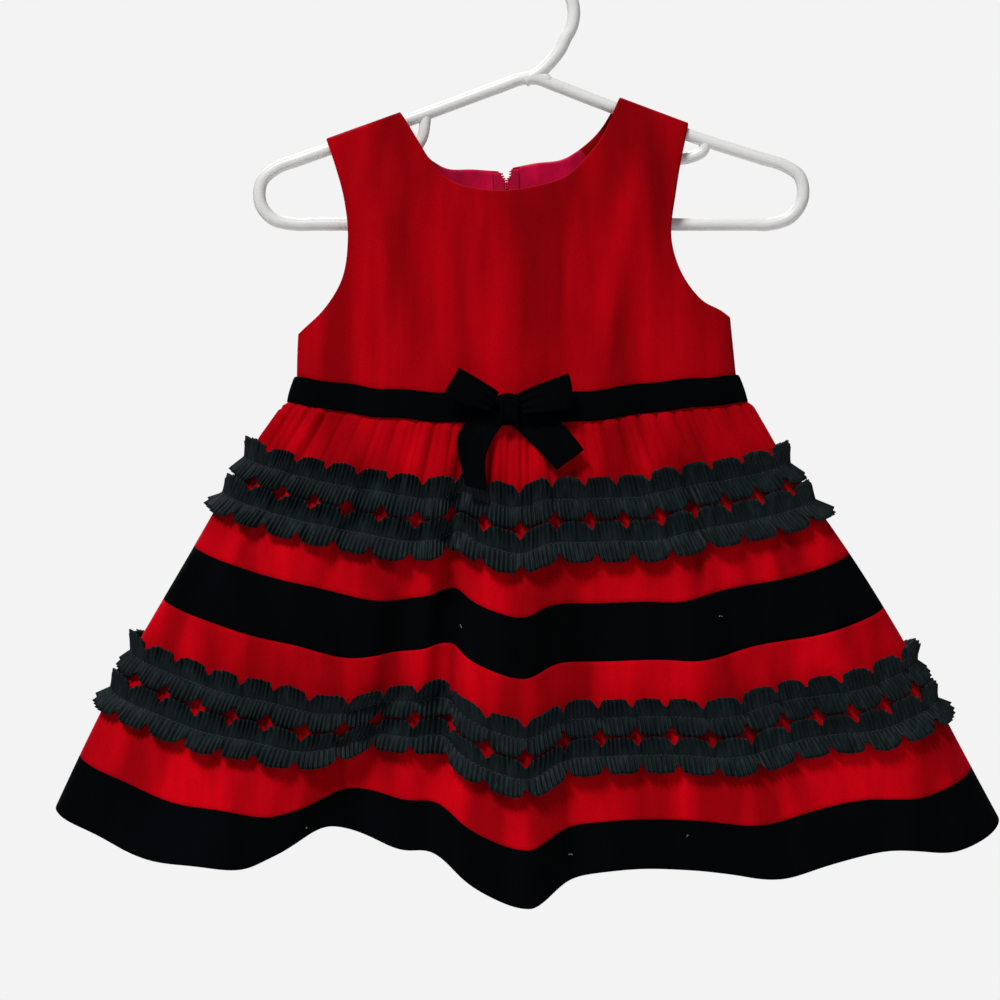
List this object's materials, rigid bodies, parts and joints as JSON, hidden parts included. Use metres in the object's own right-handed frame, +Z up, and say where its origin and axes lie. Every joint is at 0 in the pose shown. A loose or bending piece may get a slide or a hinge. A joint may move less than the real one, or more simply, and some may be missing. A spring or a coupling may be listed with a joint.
{
  "type": "toddler party dress on a hanger",
  "caption": "Sleeveless velvet toddler dress with a ribbon bow, gathered skirt, contrast bands and pleated scalloped trims, hung on a white child's hanger.",
  "frame": {"origin": "the highest point inside the hanger's hook, where a closet rod carries it", "axes": "+X to the right as the front of the dress is seen, +Y to the back of the dress, +Z up"},
  "size_m": [0.508, 0.1172, 0.5007],
  "materials": {
    "red_velvet": "red cotton velvet with a short nap",
    "black_velvet": "black velvet, ribbon and bands",
    "slate_taffeta": "finely pleated slate black taffeta",
    "lining_satin": "crimson pink lining satin",
    "zip_tape": "red woven tape with coil teeth",
    "zip_metal": "red enamel",
    "hanger_plastic": "white moulded plastic"
  },
  "bodies": {
    "dress": {"hanger": "hanger_plastic", "bodice_front": "red_velvet", "bodice_back_left": "red_velvet", "bodice_back_right": "red_velvet", "neck_lining_left": "lining_satin", "neck_lining_right": "lining_satin", "zip_tape_left": "zip_tape", "zip_tape_right": "zip_tape", "zip_slider": "zip_metal", "skirt_upper_front": "red_velvet", "skirt_upper_back_right": "red_velvet", "skirt_upper_back_left": "red_velvet", "mid_band_front": "black_velvet", "mid_band_back": "black_velvet", "skirt_lower_front": "red_velvet", "skirt_lower_back": "red_velvet", "hem_band_front": "black_velvet", "hem_band_back": "black_velvet", "trim_upper_top": "slate_taffeta", "trim_upper_bottom": "slate_taffeta", "trim_lower_top": "slate_taffeta", "trim_lower_bottom": "slate_taffeta", "waist_ribbon": "black_velvet", "bow_loop_left": "black_velvet", "bow_loop_right": "black_velvet", "bow_tail_left": "black_velvet", "bow_tail_right": "black_velvet", "bow_knot": "black_velvet"},
    "pull": {"zip_pull": "zip_metal"}
  },
  "joints": [
    {"name": "pull_hinge", "type": "hinge", "parent": "dress", "child": "pull", "pos_m": [-0.0136, 0.0186, -0.113], "axis": [1, 0, 0], "range_deg": [0, 170]}
  ]
}
